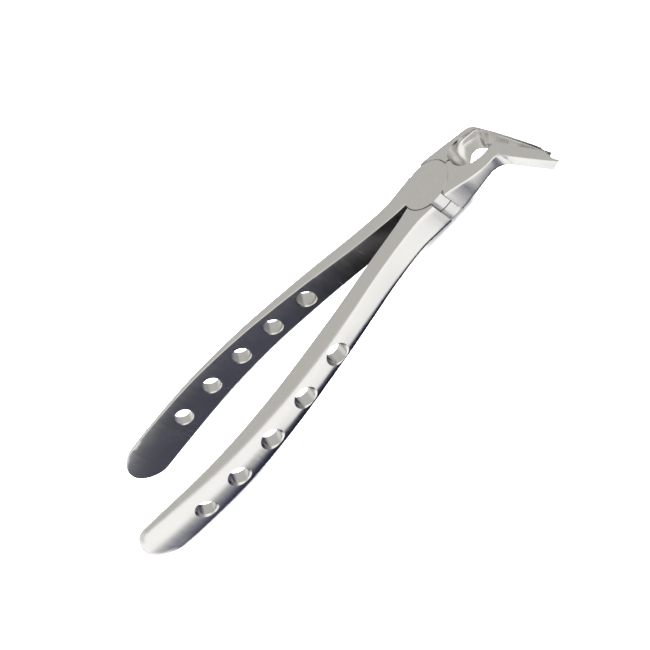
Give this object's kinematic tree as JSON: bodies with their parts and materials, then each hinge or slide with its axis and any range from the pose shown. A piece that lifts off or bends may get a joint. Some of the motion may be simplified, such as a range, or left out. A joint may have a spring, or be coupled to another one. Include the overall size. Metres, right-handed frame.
{
  "type": "extraction forceps",
  "caption": "Dental extraction forceps: two crossing steel levers on a flush rivet, perforated bowed handles, beaks bent sideways with serrated inner faces.",
  "frame": {"origin": "centre of the pivot rivet's lower end, level with the joint's lower flat", "axes": "+Z along the hinge axis, towards the upper lap; +X from the handles to the beaks; +Y towards the handle of the upper lap lever"},
  "size_m": [0.165, 0.0521, 0.0154],
  "materials": {
    "upper_lever_steel": "satin ground stainless steel",
    "lower_lever_steel": "satin ground stainless steel",
    "rivet_steel": "ground flush with the joint's flats"
  },
  "bodies": {
    "lower_lever": {"lower_lap_lever": "lower_lever_steel", "pivot_rivet": "rivet_steel"},
    "upper_lever": {"upper_lap_lever": "upper_lever_steel"}
  },
  "joints": [
    {"name": "lap_hinge", "type": "hinge", "parent": "lower_lever", "child": "upper_lever", "pos_m": [0, 0, 0.0043], "axis": [0, 0, -1], "range_deg": [0, 24]}
  ]
}
